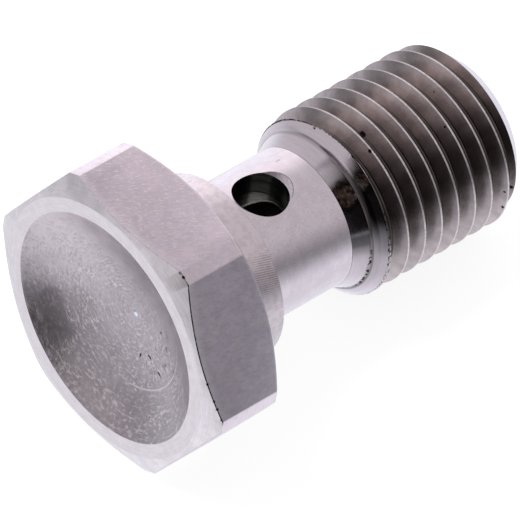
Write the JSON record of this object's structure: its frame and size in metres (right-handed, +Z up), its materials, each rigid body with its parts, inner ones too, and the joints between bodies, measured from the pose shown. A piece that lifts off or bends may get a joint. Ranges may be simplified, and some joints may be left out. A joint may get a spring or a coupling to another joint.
{
  "type": "banjo bolt",
  "caption": "Hollow steel banjo bolt with a dished hexagon head, washer collar, slim neck with a cross hole, coned shoulder and fine thread.",
  "frame": {"origin": "middle of the footprint, on the surface that the bolt lies on", "axes": "+X along the bolt from head to tip, lying tip-low by about 7.6 degrees; +Z up, square to the lying flat's own line across; +Y completes the frame"},
  "size_m": [0.0238, 0.0158, 0.0144],
  "materials": {
    "stainless_steel": "bright turned and milled stainless steel, lightly scratched"
  },
  "bodies": {
    "root": {"bolt": "stainless_steel"}
  },
  "joints": []
}
